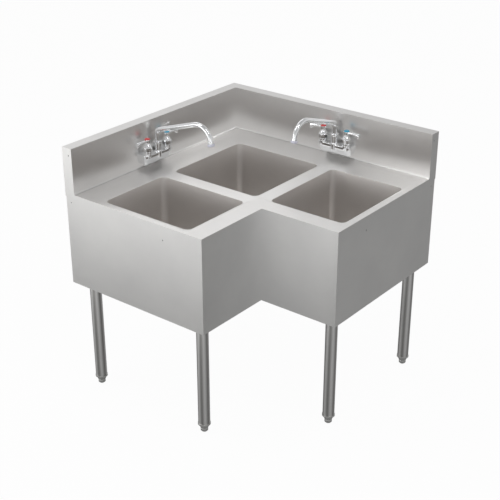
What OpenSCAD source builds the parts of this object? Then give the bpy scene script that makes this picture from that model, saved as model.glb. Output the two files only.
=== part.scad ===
// Corner sink with three bowls: an L-shaped stainless body on five legs, with two wall taps.
// Origin: middle of the overall box on the floor. The room's corner is at low X and high Y.
// The left wing runs along the low-X wall, the right wing along the high-Y wall.

/* [Overall] */
// Length of the left wing along its wall
left_run = 914.4; // [860:0.1:1100]
// Length of the right wing along its wall
right_run = 914.4; // [860:0.1:1100]
// Depth of both wings, from the wall to the front apron
wing_depth = 609.6; // [600:0.1:640]
// Height of the splash top above the floor
total_h = 914.4; // [905:0.1:980]
// Height of the deck's raised edge above the floor
rim_h = 749.3; // [735:0.1:755]
// Height of the aprons and end panels
apron_h = 342.9; // [336:0.1:380]

/* [Sheet metal] */
// Thickness of the sheet
sheet_t = 1.5; // [1.2:0.1:2]
// How far the deck lies below its raised edge
rim_drop = 3; // [1:0.1:4]
// Width of the sloped edge along the end panels
end_edge_w = 14.5; // [10:0.1:16]
// Width of the sloped edge along the front aprons
front_edge_w = 68; // [20:0.1:69]
// Width of the sloped edge along the splashes, from the end of the cove
splash_edge_w = 34; // [15:0.1:40]
// Thickness of the hollow splash, from the wall to its face
splash_t = 43.5; // [41.5:0.1:50]
// Radius of the cove between splash and deck
cove_r = 6; // [3:0.1:12]
// Height of the splash's rear return along the wall
splash_return = 25; // [15:0.5:40]
// Width of the stiffening flange at the bottom of each panel
flange_w = 12; // [6:0.1:14]
// How far the end panels stand off the wall below the deck
back_step = 4; // [0:0.1:8]
// How far below the deck's raised edge that step is
step_drop = 12; // [5:0.5:25]
// Diameter of the small holes in the end panels
panel_hole_d = 5; // [3:0.1:7]

/* [Bowls] */
// Size of each bowl from front to back
bowl_w = 372; // [330:0.1:380]
// Depth of the bowls below the deck
bowl_depth = 254; // [200:0.5:258]
// Radius of the bowl's corners and of its bottom edges
bowl_r = 22; // [16:0.5:30]
// Width of the deck between two bowls
divider_w = 57.4; // [50:0.1:90]
// Width of the deck between a bowl and the end panel
end_strip = 29.5; // [28:0.1:60]
// Width of the deck between the bowls and the left wing's apron
front_strip_left = 79.6; // [78:0.1:100]
// Width of the deck between the bowls and the right wing's apron
front_strip_right = 71.1; // [70.5:0.1:100]
// Width of the bowl's flange under the deck
bowl_flange_w = 9; // [5:0.5:12]

/* [Legs and feet] */
// Outer diameter of the leg tubes
leg_d = 41.3; // [38:0.1:44]
// Wall of the leg tubes
leg_wall = 1.5; // [1.2:0.1:2.5]
// Distance of the leg centres from the outer faces of the panels
leg_inset = 37; // [35:0.1:39]
// Distance of the wall-side legs' centres from the wall
wall_leg_inset = 77; // [70:0.1:90]
// Height of the rear rails
rail_h = 75; // [60:0.5:80]
// Thickness of the rear rails
rail_t = 2; // [1.5:0.1:3]
// Thickness of the plates on the leg sockets
socket_plate_t = 3; // [2:0.1:5]
// Length of the leg sockets
socket_len = 50; // [30:0.5:60]
// Diameter of the adjustable foot
foot_d = 26; // [22:0.1:28]
// Height of the foot below its insert
foot_h = 15; // [12:0.1:25]
// Height of the insert's taper
insert_taper_h = 14; // [8:0.1:20]
// Height of the insert's collar
insert_collar_h = 6; // [4:0.1:10]
// Depth of the insert in the tube
insert_plug_h = 28; // [20:0.5:40]
// Diameter of the foot's threaded stud
stud_d = 12; // [10:0.1:14]
// Length of the foot's threaded stud
stud_len = 75; // [72:0.5:90]

/* [Drains] */
// Outer diameter of the drain flange
drain_flange_d = 112; // [100:0.5:120]
// Outer diameter of the drain cup
drain_cup_d = 87; // [80:0.5:92]
// Depth of the drain cup below the bowl
drain_cup_depth = 38; // [34:0.5:42]
// Outer diameter of the drain's threaded tail
drain_tail_d = 48; // [40:0.5:52]
// Length of the drain's threaded tail
drain_tail_len = 36; // [25:0.5:38]

/* [Taps] */
// Distance of each tap's centre from the corner, along the wall
tap_from_corner = 537; // [300:1:620]
// Distance between the two valves of a tap
valve_spacing = 101.6; // [96:0.1:110]
// Distance of the valves and the spout from the splash
valve_out = 38; // [36:0.1:50]
// Height of the tap body's top above the deck's raised edge
tap_body_up = 56.7; // [50:0.1:70]
// Diameter of the spout tube
spout_d = 18; // [16:0.1:18.5]
// Length of the straight part of the spout
spout_straight = 172; // [100:1:230]
// Slope of the straight part of the spout
spout_slope = 18; // [10:0.1:30]
// Radius of the spout's outer bend
spout_bend_r = 57; // [35:0.5:70]
// Length of the levers from the valve's axis
lever_len = 56; // [40:0.5:80]
// Diameter of the threaded shanks that go through the splash
shank_d = 20.9; // [18:0.1:21.5]

/* [Hidden] */
$fn = 64;

// Small extra length that carries a cut past a face
cut = 1;
// Radial clearances of running fits and of welded or screwed fits
run_fit = 0.05;
loose_fit = 0.15;

// Levels, from the floor up
apron_bottom = rim_h - apron_h;
deck_h = rim_h - rim_drop;
deck_under = deck_h - sheet_t;
bowl_bottom = deck_h - bowl_depth;
socket_top = apron_bottom + rail_h;
tube_top = socket_top - socket_plate_t;
tube_bottom = foot_h + insert_taper_h + insert_collar_h;
foot_gap = 0.3;

// Distances from the walls
deck_back = splash_t + cove_r;
left_gap = wing_depth - front_strip_left - bowl_w;
right_gap = wing_depth - front_strip_right - bowl_w;
plate_half = leg_inset - sheet_t;
rail_front = wall_leg_inset - plate_half;

// Bowl rectangles as [nearest to left wall, nearest to right wall, size along X, size along Y]
left_bowl_box = [left_gap, right_gap + bowl_w + divider_w, bowl_w,
                 left_run - end_strip - (right_gap + bowl_w + divider_w)];
corner_bowl_box = [left_gap, right_gap, bowl_w, bowl_w];
right_bowl_box = [left_gap + bowl_w + divider_w, right_gap,
                  right_run - end_strip - (left_gap + bowl_w + divider_w), bowl_w];
BOWLS = [left_bowl_box, corner_bowl_box, right_bowl_box];

// Leg centres as [distance from the left wall, distance from the right wall]
left_front_at = [wing_depth - leg_inset, left_run - leg_inset];
left_wall_at = [wall_leg_inset, left_run - leg_inset];
corner_at = [wall_leg_inset, wall_leg_inset];
right_wall_at = [right_run - leg_inset, wall_leg_inset];
right_front_at = [right_run - leg_inset, wing_depth - leg_inset];
LEGS = [left_front_at, left_wall_at, corner_at, right_wall_at, right_front_at];

steel = [0.76, 0.76, 0.75];
dark_steel = [0.6, 0.6, 0.59];
chrome = [0.86, 0.87, 0.88];
black_rubber = [0.12, 0.12, 0.12];
hot_red = [0.85, 0.2, 0.2];
cold_blue = [0.2, 0.6, 0.75];
pale = [0.87, 0.87, 0.92];

// Places. In the corner frame X is the distance from the left wall, -Y that from the right wall.
module corner_frame() translate([-right_run / 2, left_run / 2, 0]) children();
module at_plan(p, z = 0) corner_frame() translate([p[0], -p[1], z]) children();
// Turns a right-wing piece into its left-wing twin.
module left_wing() corner_frame() mirror([1, 1, 0]) children();
module right_wing() corner_frame() children();
// Extrudes a section (distance from the wall, height) along a wing's wall.
module along_wall(from, to)
    translate([to, 0, 0]) rotate([90, 0, -90]) linear_extrude(to - from) children();
// Keeps the part of a wing piece that lies on its own side of the mitre.
module mitred(run)
    intersection() {
        children();
        translate([0, 0, -cut]) linear_extrude(total_h + 2 * cut)
            polygon([[0, 0], [run + cut, 0], [run + cut, -run - cut]]);
    }

// Sheet metal
module rounded_rect(w, l, r) {
    translate([r, 0]) square([w - 2 * r, l]);
    translate([0, r]) square([w, l - 2 * r]);
    for (x = [r, w - r], y = [r, l - r]) translate([x, y]) circle(r);
}

module bowl_outline(b, grow = 0)
    translate([b[0] - grow, -b[1] - b[3] - grow])
        rounded_rect(b[2] + 2 * grow, b[3] + 2 * grow, bowl_r + grow);

// Outer corners of the deck, anticlockwise from the back corner, and the width of each edge
deck_outer = [[deck_back, -deck_back], [deck_back, -left_run], [wing_depth, -left_run],
              [wing_depth, -wing_depth], [right_run, -wing_depth], [right_run, -deck_back]];
edge_w = [splash_edge_w, end_edge_w, front_edge_w, front_edge_w, end_edge_w, splash_edge_w];
deck_inner = [deck_outer[0] + [edge_w[0], -edge_w[5]], deck_outer[1] + [edge_w[0], edge_w[1]],
              deck_outer[2] + [-edge_w[2], edge_w[1]], deck_outer[3] + [-edge_w[2], edge_w[3]],
              deck_outer[4] + [-edge_w[4], edge_w[3]], deck_outer[5] + [-edge_w[4], -edge_w[5]]];

// One sloped edge of the deck, mitred to its neighbours
module deck_edge(i) {
    j = (i + 1) % 6;
    run = deck_outer[j] - deck_outer[i];
    len = norm(run);
    w = edge_w[i];
    intersection() {
        translate([0, 0, deck_under - cut]) linear_extrude(rim_drop + sheet_t + 2 * cut)
            polygon([deck_outer[i], deck_outer[j], deck_inner[j], deck_inner[i]]);
        translate([deck_outer[i][0], deck_outer[i][1], rim_h])
            rotate([0, 0, atan2(run[1], run[0])])
                translate([-front_edge_w, 0, 0]) rotate([90, 0, 90])
                    linear_extrude(len + 2 * front_edge_w)
                        polygon([[0, 0], [0, -sheet_t], [w, -rim_drop - sheet_t], [w, -rim_drop]]);
    }
}

// The deck is welded from three plates, one round each bowl. Their hairline seams run over the
// dividers and along the mitre to the inner corner.
seam_w = 0.04;
seam_at = (left_gap + right_gap + 2 * bowl_w + divider_w) / 2;
module deck_seams() {
    translate([deck_back - cut, -seam_at - seam_w / 2]) square([seam_at - deck_back + cut, seam_w]);
    translate([seam_at - seam_w / 2, -seam_at]) square([seam_w, seam_at - deck_back + cut]);
    polygon([[seam_at - seam_w, -seam_at], [seam_at, -seam_at + seam_w],
             [wing_depth + cut + seam_w, -wing_depth - cut], [wing_depth + cut, -wing_depth - cut - seam_w]]);
}

module deck() color(steel) corner_frame() difference() {
    union() {
        translate([0, 0, deck_under]) linear_extrude(sheet_t) polygon(deck_inner);
        for (i = [0:5]) deck_edge(i);
    }
    translate([0, 0, deck_under - cut]) linear_extrude(sheet_t + rim_drop + 2 * cut) {
        for (b = BOWLS) bowl_outline(b);
        deck_seams();
    }
}

// Section through a splash: rear return, flat top, face and cove
module splash_section() {
    translate([0, total_h - splash_return]) square([sheet_t, splash_return]);
    translate([0, total_h - sheet_t]) square([splash_t, sheet_t]);
    translate([splash_t - sheet_t, rim_h + cove_r]) square([sheet_t, total_h - rim_h - cove_r]);
    intersection() {
        translate([splash_t + cove_r, rim_h + cove_r]) difference() {
            circle(cove_r + sheet_t);
            circle(cove_r);
        }
        translate([splash_t - sheet_t, rim_h - sheet_t]) square(cove_r + sheet_t);
    }
}

// Places something at both shanks of a right-wing tap, along the outward direction of the wall
module at_shanks()
    for (side = [-1, 1])
        translate([tap_from_corner + side * valve_spacing / 2, -splash_t, shank_z])
            rotate([90, 0, 0]) children();

module splash(run) difference() {
    mitred(run) along_wall(0, run - sheet_t) splash_section();
    at_shanks() cylinder(d = shank_d + 1, h = 4 * sheet_t, center = true);
}

module left_splash() color(steel) left_wing() splash(left_run);
module right_splash() color(steel) right_wing() splash(right_run);

// Where a panel's top edge meets the underside of the sloped deck edge
function panel_top(w) = rim_h - sheet_t - rim_drop * sheet_t / w;
// Small holes of an end panel as [distance from the wall, height]
panel_holes = [[29, total_h - 26.4], [25.6, rim_h - 32.1], [wing_depth - 165, rim_h - 51.4]];

module end_panel_section() difference() {
    union() {
        translate([0, rim_h - step_drop]) square([splash_t, total_h - rim_h + step_drop]);
        translate([splash_t - cut, rim_h - step_drop]) square([cove_r + cut, step_drop + cove_r]);
        translate([back_step, apron_bottom])
            square([wing_depth - back_step, panel_top(end_edge_w) - apron_bottom]);
    }
    translate([splash_t + cove_r, rim_h + cove_r]) circle(cove_r);
    for (h = panel_holes) translate(h) circle(d = panel_hole_d);
}

module end_panel(run) {
    along_wall(run - sheet_t, run) end_panel_section();
    translate([run - flange_w, -wing_depth + flange_w, apron_bottom])
        cube([flange_w - sheet_t, wing_depth - flange_w - rail_front - 1, sheet_t]);
}

module left_end_panel() color(steel) left_wing() end_panel(left_run);
module right_end_panel() color(steel) right_wing() end_panel(right_run);

module apron(from, run) {
    translate([from, -wing_depth, apron_bottom])
        cube([run - sheet_t - from, sheet_t, panel_top(front_edge_w) - apron_bottom]);
    translate([wing_depth, -wing_depth + sheet_t, apron_bottom])
        cube([run - sheet_t - wing_depth, flange_w - sheet_t, sheet_t]);
}

// The left apron laps the end of the right one at the notch
module left_apron() color(steel) left_wing() apron(wing_depth - sheet_t, left_run);
module right_apron() color(steel) right_wing() apron(wing_depth, right_run);

// Rear rail: a channel that opens towards the wall
module rear_rail(run) mitred(run) along_wall(0, run - sheet_t)
    translate([back_step, apron_bottom]) difference() {
        square([rail_front - back_step, rail_h]);
        translate([-cut, rail_t]) square([rail_front - back_step - rail_t + cut, rail_h - 2 * rail_t]);
    }

module left_rear_rail() color(dark_steel) left_wing() rear_rail(left_run);
module right_rear_rail() color(dark_steel) right_wing() rear_rail(right_run);

// Bowls
// A solid block, open upwards, with rounded upright and bottom edges
module tub(w, l, d, r, up) translate([0, 0, -d]) {
    translate([r, 0, r]) cube([w - 2 * r, l, d - r + up]);
    translate([0, r, r]) cube([w, l - 2 * r, d - r + up]);
    translate([r, r, 0]) cube([w - 2 * r, l - 2 * r, r + cut]);
    for (x = [r, w - r], y = [r, l - r]) translate([x, y, r]) {
        cylinder(r = r, h = d - r + up);
        sphere(r);
    }
    for (x = [r, w - r]) translate([x, r, r]) rotate([-90, 0, 0]) cylinder(r = r, h = l - 2 * r);
    for (y = [r, l - r]) translate([r, y, r]) rotate([0, 90, 0]) cylinder(r = r, h = w - 2 * r);
}

module bowl(b) color(dark_steel) corner_frame() difference() {
    union() {
        translate([b[0] - sheet_t, -b[1] - b[3] - sheet_t, deck_under])
            tub(b[2] + 2 * sheet_t, b[3] + 2 * sheet_t,
                bowl_depth, bowl_r + sheet_t, 0);
        translate([0, 0, deck_under - sheet_t]) linear_extrude(sheet_t)
            bowl_outline(b, bowl_flange_w);
    }
    translate([b[0], -b[1] - b[3], deck_under])
        tub(b[2], b[3], bowl_depth - sheet_t, bowl_r, cut);
    translate([b[0] + b[2] / 2, -b[1] - b[3] / 2, bowl_bottom])
        cylinder(d = drain_cup_d + 1, h = 4 * sheet_t, center = true);
}

module left_bowl() bowl(left_bowl_box);
module corner_bowl() bowl(corner_bowl_box);
module right_bowl() bowl(right_bowl_box);

// Legs
cup_r = leg_d / 2 + loose_fit + 2.85;
cup_screw_d = 6;

module leg_socket() difference() {
    union() {
        translate([-plate_half, -plate_half, tube_top])
            cube([2 * plate_half, 2 * plate_half, socket_plate_t]);
        translate([0, 0, tube_top - socket_len]) cylinder(r = cup_r, h = socket_len);
    }
    translate([0, 0, tube_top - socket_len - cut]) cylinder(r = leg_d / 2 + loose_fit, h = socket_len + cut);
    socket_screw_place() cylinder(d = cup_screw_d + 2 * run_fit, h = 20);
}

module socket_screw_place()
    translate([0, 0, tube_top - socket_len / 2]) rotate([0, 0, 45]) rotate([0, -90, 0])
        translate([0, 0, leg_d / 2]) children();

module socket_screw() socket_screw_place() {
    cylinder(d = cup_screw_d, h = cup_r - leg_d / 2 + 1);
    translate([0, 0, cup_r - leg_d / 2 + 1]) cylinder(d = 9, h = 4, $fn = 6);
}

module leg_sockets() color(dark_steel) for (p = LEGS) at_plan(p) leg_socket();
module socket_screws() color(dark_steel) for (p = LEGS) at_plan(p) socket_screw();

module leg(p) color(steel) at_plan(p, tube_bottom) difference() {
    cylinder(d = leg_d, h = tube_top - tube_bottom);
    translate([0, 0, -cut]) cylinder(d = leg_d - 2 * leg_wall, h = tube_top - tube_bottom + 2 * cut);
}

module left_front_leg() leg(left_front_at);
module left_wall_leg() leg(left_wall_at);
module corner_leg() leg(corner_at);
module right_wall_leg() leg(right_wall_at);
module right_front_leg() leg(right_front_at);

// Insert: plug in the tube, collar against its end, taper down to the foot, and a threaded bore
module foot_insert() {
    plug_r = leg_d / 2 - leg_wall - loose_fit;
    collar_r = leg_d / 2 + 1.6;
    bore_r = stud_d / 2 + run_fit;
    rotate_extrude() polygon([
        [bore_r, foot_h], [foot_d / 2 + 0.5, foot_h], [collar_r - 2.6, foot_h + insert_taper_h],
        [collar_r, foot_h + insert_taper_h], [collar_r, tube_bottom], [plug_r, tube_bottom],
        [plug_r, tube_bottom + insert_plug_h], [bore_r, tube_bottom + insert_plug_h]]);
}

module foot_inserts() color(dark_steel) for (p = LEGS) at_plan(p) foot_insert();

// Foot: a plain round base with a rounded lower edge, and a threaded stud
module foot(p) color(dark_steel) at_plan(p) {
    edge_r = 4;
    rotate_extrude() {
        square([foot_d / 2 - edge_r, edge_r]);
        translate([0, edge_r]) square([foot_d / 2, foot_h - foot_gap - edge_r]);
        intersection() {
            translate([foot_d / 2 - edge_r, edge_r]) circle(edge_r);
            square([foot_d / 2, edge_r]);
        }
        translate([0, foot_h - foot_gap - cut]) square([stud_d / 2, stud_len + cut]);
    }
}

module left_front_foot() foot(left_front_at);
module left_wall_foot() foot(left_wall_at);
module corner_foot() foot(corner_at);
module right_wall_foot() foot(right_wall_at);
module right_front_foot() foot(right_front_at);

// Drains. Heights here are counted from the top of the bowl's bottom.
drain_flange_t = 1.6;
drain_wall = 1.5;
strainer_down = 8;
strainer_t = 1.2;
gasket_t = 3;
locknut_t = 8;
drain_hub_r = 5;
drain_screw_d = 5;

module at_drain(b) at_plan([b[0] + b[2] / 2, b[1] + b[3] / 2], bowl_bottom) children();

module drain_body() {
    cup_r = drain_cup_d / 2;
    tail_r = drain_tail_d / 2;
    rotate_extrude() polygon([
        [cup_r - drain_wall, drain_flange_t], [drain_flange_d / 2, drain_flange_t],
        [drain_flange_d / 2, 0], [cup_r, 0], [cup_r, -drain_cup_depth],
        [tail_r, -drain_cup_depth], [tail_r, -drain_cup_depth - drain_tail_len],
        [tail_r - 2.5, -drain_cup_depth - drain_tail_len], [tail_r - 2.5, -drain_cup_depth + 3],
        [cup_r - 3 * drain_wall, -drain_cup_depth + 3],
        [cup_r - 3 * drain_wall, -strainer_down], [cup_r - drain_wall, -strainer_down]]);
    difference() {
        union() {
            translate([-cup_r + 2 * drain_wall, -4, -strainer_down - 8])
                cube([drain_cup_d - 4 * drain_wall, 8, 4]);
            translate([0, 0, -strainer_down - 8]) cylinder(r = drain_hub_r, h = 8);
        }
        translate([0, 0, -strainer_down - 8 - cut]) cylinder(d = drain_screw_d + 2 * run_fit, h = 20);
    }
}

module drain(b) color(steel) at_drain(b) drain_body();
module left_drain() drain(left_bowl_box);
module corner_drain() drain(corner_bowl_box);
module right_drain() drain(right_bowl_box);

module strainer() translate([0, 0, -strainer_down]) difference() {
    cylinder(r = drain_cup_d / 2 - drain_wall - loose_fit, h = strainer_t);
    translate([0, 0, -cut]) {
        cylinder(d = drain_screw_d + 2 * loose_fit, h = strainer_t + 2 * cut);
        for (ring = [[14, 8], [24, 14], [33, 20]], i = [1:ring[1]])
            rotate([0, 0, 360 * i / ring[1]]) translate([ring[0], 0, 0])
                cylinder(d = 5.5, h = strainer_t + 2 * cut, $fn = 16);
    }
}

strainer_screw_len = 14;
strainer_head_d = 10;
strainer_head_h = 2;
module strainer_screw() translate([0, 0, -strainer_down + strainer_t]) {
    translate([0, 0, -strainer_screw_len]) cylinder(d = drain_screw_d, h = strainer_screw_len);
    cylinder(d = strainer_head_d, h = strainer_head_h);
}

module drain_gasket() translate([0, 0, -sheet_t - gasket_t]) difference() {
    cylinder(d = drain_flange_d - 6, h = gasket_t);
    translate([0, 0, -cut]) cylinder(d = drain_cup_d + 2 * loose_fit, h = gasket_t + 2 * cut);
}

module drain_locknut() translate([0, 0, -sheet_t - gasket_t - locknut_t]) difference() {
    cylinder(d = drain_flange_d + 4, h = locknut_t, $fn = 8);
    translate([0, 0, -cut]) cylinder(d = drain_cup_d + 2 * loose_fit, h = locknut_t + 2 * cut);
}

module drain_strainers() color(steel) for (b = BOWLS) at_drain(b) strainer();
module strainer_screws() color(steel) for (b = BOWLS) at_drain(b) strainer_screw();
module drain_gaskets() color(black_rubber) for (b = BOWLS) at_drain(b) drain_gasket();
module drain_locknuts() color(dark_steel) for (b = BOWLS) at_drain(b) drain_locknut();

// Taps. In a tap's frame the splash face is y = 0, the user is at -Y with hot on the left,
// and heights are counted from the top of the cast body.
module right_tap() right_wing() translate([tap_from_corner, -splash_t, tap_z]) children();
module left_tap()
    corner_frame() translate([splash_t, -tap_from_corner, tap_z]) rotate([0, 0, 90]) children();
module at_valve(side) translate([side * valve_spacing / 2, -valve_out, 0]) children();
hot = -1;
cold = 1;

tap_z = rim_h + tap_body_up;
body_h = 37;
band_h = 11;
end_r = 16;
end_x = valve_spacing / 2 + 4.2;
shank_drop = 19;
shank_z = tap_z - shank_drop;
shank_len = 34;
shank_nut_d = 34;
shank_nut_h = 8;
shank_neck = 0.4;
thread_from = sheet_t + shank_nut_h;
chamber_r = 10;
chamber_depth = 24;
valve_boss_h = 6;
column_r = 12;
column_h = 26;
water_r = 5;

// Side section of the cross bar: upright band, then a face raked back towards the wall
module bar_section()
    polygon([[-valve_out + 20, 0], [-valve_out - 12, 0], [-valve_out - 12, -band_h],
             [-valve_out + 2, -body_h], [-valve_out + 14, -body_h], [-valve_out + 20, -body_h + 14]]);

// Front section of an inlet arm, narrower at the bottom
module arm_section(side)
    polygon([for (p = [[end_x - end_r, 0], [end_x + end_r - 2, 0], [end_x + end_r - 2, -band_h],
                       [end_x + 7, -body_h + 1], [end_x - 9, -body_h + 1], [end_x - end_r, -band_h]])
             [side * p[0], p[1]]]);

module tap_end(side) {
    translate([side * end_x, -valve_out + 4, -band_h]) cylinder(r = end_r, h = band_h);
    hull() {
        translate([side * end_x, -valve_out + 4, -band_h - 0.5]) cylinder(r = end_r, h = 0.5, $fn = 32);
        translate([side * end_x, -valve_out + 12, -body_h - 3]) cylinder(r = 7, h = 0.5, $fn = 32);
    }
}

// Shank: a slightly slimmer neck under the nut, then the pipe thread's full diameter
module shank() {
    translate([0, 0, -cut]) cylinder(d = shank_d - 2 * shank_neck, h = thread_from + 2 * cut);
    translate([0, 0, thread_from]) cylinder(d = shank_d, h = shank_len - thread_from);
}

module tap_body() color(chrome) difference() {
    union() {
        translate([-end_x, 0, 0]) rotate([90, 0, 90]) linear_extrude(2 * end_x) bar_section();
        for (side = [hot, cold]) {
            translate([0, -valve_out + 4, 0]) rotate([-90, 0, 0]) mirror([0, 1, 0])
                linear_extrude(valve_out - 4) arm_section(side);
            tap_end(side);
            at_valve(side) cylinder(r = 13, h = valve_boss_h);
            translate([side * valve_spacing / 2, 0, -shank_drop]) rotate([-90, 0, 0]) shank();
        }
        translate([0, -valve_out, -cut]) cylinder(r = 14.5, h = 4 + cut);
        translate([0, -valve_out, 0]) cylinder(r = column_r, h = column_h);
    }
    for (side = [hot, cold]) {
        at_valve(side) translate([0, 0, valve_boss_h - chamber_depth])
            cylinder(r = chamber_r + run_fit, h = chamber_depth + cut);
        translate([side * valve_spacing / 2, -valve_out, -shank_drop + 2]) rotate([-90, 0, 0])
            cylinder(r = water_r, h = valve_out + shank_len + cut);
    }
    translate([0, -valve_out, spout_seat]) cylinder(d = spout_d + 2 * run_fit, h = column_h);
    translate([0, -valve_out, -shank_drop + 2]) cylinder(r = water_r, h = column_h);
    translate([-valve_spacing / 2, -valve_out, -shank_drop + 2]) rotate([0, 90, 0])
        cylinder(r = water_r, h = valve_spacing);
}

// Bonnet: threaded skirt in the body, twelve-sided band and a domed top
stem_r = 4;
bonnet_top = 47;
module bonnet() color(chrome) difference() {
    union() {
        rotate_extrude() polygon([
            [0, valve_boss_h - 12], [chamber_r, valve_boss_h - 12], [chamber_r, valve_boss_h],
            [13.5, valve_boss_h], [13.5, 12], [16, 15], [16, 29], [13, 36], [9, 41], [7.5, 44],
            [7.5, bonnet_top], [0, bonnet_top]]);
        translate([0, 0, 15]) cylinder(r = 17.3, h = 14, $fn = 12);
    }
    translate([0, 0, -20]) cylinder(r = stem_r + run_fit, h = 80);
}

stem_seat = -16;
stem_top = 56;
module stem() color(dark_steel) {
    translate([0, 0, stem_seat]) cylinder(r = stem_r, h = stem_top - stem_seat);
    translate([0, 0, stem_seat]) cylinder(r = chamber_r - 1, h = 5);
}

// Lever: a hub on the stem and an arm whose flared end turns down
hub_r = 10.5;
hub_bottom = bonnet_top + 0.5;
hub_top = 58.5;
module lever(side) color(chrome) difference() {
    union() {
        translate([0, 0, hub_bottom]) cylinder(r = hub_r, h = hub_top - hub_bottom);
        intersection() {
            rotate([90, 0, 0]) linear_extrude(40, center = true)
                polygon([for (p = [[-14, hub_top - 1], [-14, hub_top - 6], [0, hub_bottom + 1],
                                   [lever_len - 20, hub_bottom + 3], [lever_len - 9, hub_bottom - 9],
                                   [lever_len - 3, hub_bottom - 9], [lever_len, hub_top + 1.5]])
                         [side * p[0], p[1]]]);
            linear_extrude(hub_top * 2)
                polygon([for (p = [[-14, 3], [-14, -3], [0, -6], [lever_len - 24, -5],
                                   [lever_len, -9], [lever_len, 9], [lever_len - 24, 5], [0, 6]])
                         [side * p[0], p[1]]]);
        }
    }
    translate([0, 0, hub_bottom - cut]) cylinder(r = stem_r + 0.02, h = stem_top - hub_bottom + cut);
}

button_r = 10;
module button(tint) color(tint)
    rotate_extrude() polygon([[0, hub_top], [button_r, hub_top], [button_r, hub_top + 2.2],
                              [button_r - 1.5, hub_top + 3.4], [0, hub_top + 4.2]]);

// Spout: shank in the column, bead under the nut, riser, root bend, slope, outer bend, tip
spout_seat = 6;
spout_wall = 1.5;
root_r = 18;
root_z = 67;
bead_z = column_h + 0.1;
bead_h = 4;
bead_r = 11;
tip_turn = 80;
tip_len = 8;
root_out = root_r * (1 - sin(spout_slope));
root_up = root_r * cos(spout_slope);
slope_out = root_out + spout_straight * cos(spout_slope);
slope_up = root_z + root_up + spout_straight * sin(spout_slope);
bend_out = slope_out + spout_bend_r * sin(spout_slope);
bend_up = slope_up - spout_bend_r * cos(spout_slope);
tip_out = bend_out + spout_bend_r * sin(tip_turn);
tip_up = bend_up + spout_bend_r * cos(tip_turn);

// The bends' walls are thicker than the straight runs' by bend_grow on both sides, and the
// runs lap into them a little.
bend_grow = 0.05;
lap = 1;
module tube_section(grow) difference() {
    circle(spout_d / 2 + grow);
    circle(spout_d / 2 - spout_wall - grow);
}
module tube_run(from, to) translate([0, 0, from]) linear_extrude(to - from) tube_section(0);

// A bend about [out, up], from one angle above the outward line to another
module tube_bend(out, up, bend, from, to)
    translate([0, -out, up]) rotate([0, -90, 0]) rotate([0, 0, from - 90])
        rotate_extrude(angle = to - from) translate([bend, 0]) tube_section(bend_grow);

module spout() color(chrome) translate([0, -valve_out, 0]) {
    tube_run(spout_seat + 6, root_z + lap);
    tube_bend(root_r, root_z, root_r, 90 + spout_slope, 180);
    translate([0, -root_out, root_z + root_up]) rotate([90 - spout_slope, 0, 0])
        tube_run(-lap, spout_straight + lap);
    tube_bend(bend_out, bend_up, spout_bend_r, 90 - tip_turn, 90 + spout_slope);
    translate([0, -tip_out, tip_up]) rotate([90 + tip_turn, 0, 0]) tube_run(-lap, tip_len);
    translate([0, 0, bead_z]) linear_extrude(bead_h) difference() {
        circle(bead_r);
        circle(spout_d / 2 - spout_wall / 2);
    }
}

module spout_nut() color(chrome) translate([0, -valve_out, 0])
    rotate_extrude() polygon([
        [column_r + run_fit, column_h - 8], [13.8, column_h - 8], [13.8, column_h + 5],
        [15.4, column_h + 8], [15.4, column_h + 12], [14.4, column_h + 13.5],
        [spout_d / 2 + 0.35, column_h + 13.5], [spout_d / 2 + 0.35, bead_z + bead_h + 0.3],
        [bead_r + 0.35, bead_z + bead_h + 0.3], [bead_r + 0.35, column_h], [column_r + run_fit, column_h]]);

// Places something on the spout's tip, along the way the water leaves
module at_tip()
    translate([0, -valve_out - tip_out, tip_up]) rotate([90 + tip_turn, 0, 0]) translate([0, 0, tip_len])
        children();

// Aerator: a sleeve over the spout's tip with a perforated plate inside
aerator_r = 11;
aerator_len = 10.5;
aerator_lap = 7;
flow_r = 6;
module aerator() color(chrome) at_tip() difference() {
    rotate_extrude() polygon([
        [spout_d / 2 + run_fit, -aerator_lap], [aerator_r - 0.5, -aerator_lap], [aerator_r, -aerator_lap + 1],
        [aerator_r, aerator_len - 1], [aerator_r - 1, aerator_len], [flow_r, aerator_len],
        [flow_r, aerator_len - 4], [0, aerator_len - 4], [0, aerator_len - 5], [flow_r, aerator_len - 5],
        [flow_r, 0.2], [spout_d / 2 + run_fit, 0.2]]);
    for (a = [0:60:300]) rotate([0, 0, a]) translate([flow_r * 0.6, 0, 0])
        cylinder(r = flow_r / 5, h = aerator_len, $fn = 16);
}

// Collar round the aerator, with a bevelled upper edge
collar_from = 0.5;
collar_r = 12.5;
module aerator_collar() color(pale) at_tip() rotate_extrude() polygon([
    [aerator_r, collar_from], [aerator_r + 0.4, collar_from], [collar_r, collar_from + 2],
    [collar_r, aerator_len - 2.5], [collar_r - 1, aerator_len - 1], [aerator_r, aerator_len - 1]]);

// Mounting nuts behind the splash face
module mounting_nuts() color(dark_steel)
    for (side = [hot, cold])
        translate([side * valve_spacing / 2, sheet_t, -shank_drop]) rotate([-90, 0, 0]) difference() {
            cylinder(d = shank_nut_d, h = shank_nut_h, $fn = 6);
            translate([0, 0, -cut]) cylinder(d = shank_d + 2 * run_fit, h = shank_nut_h + 2 * cut);
        }

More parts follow.
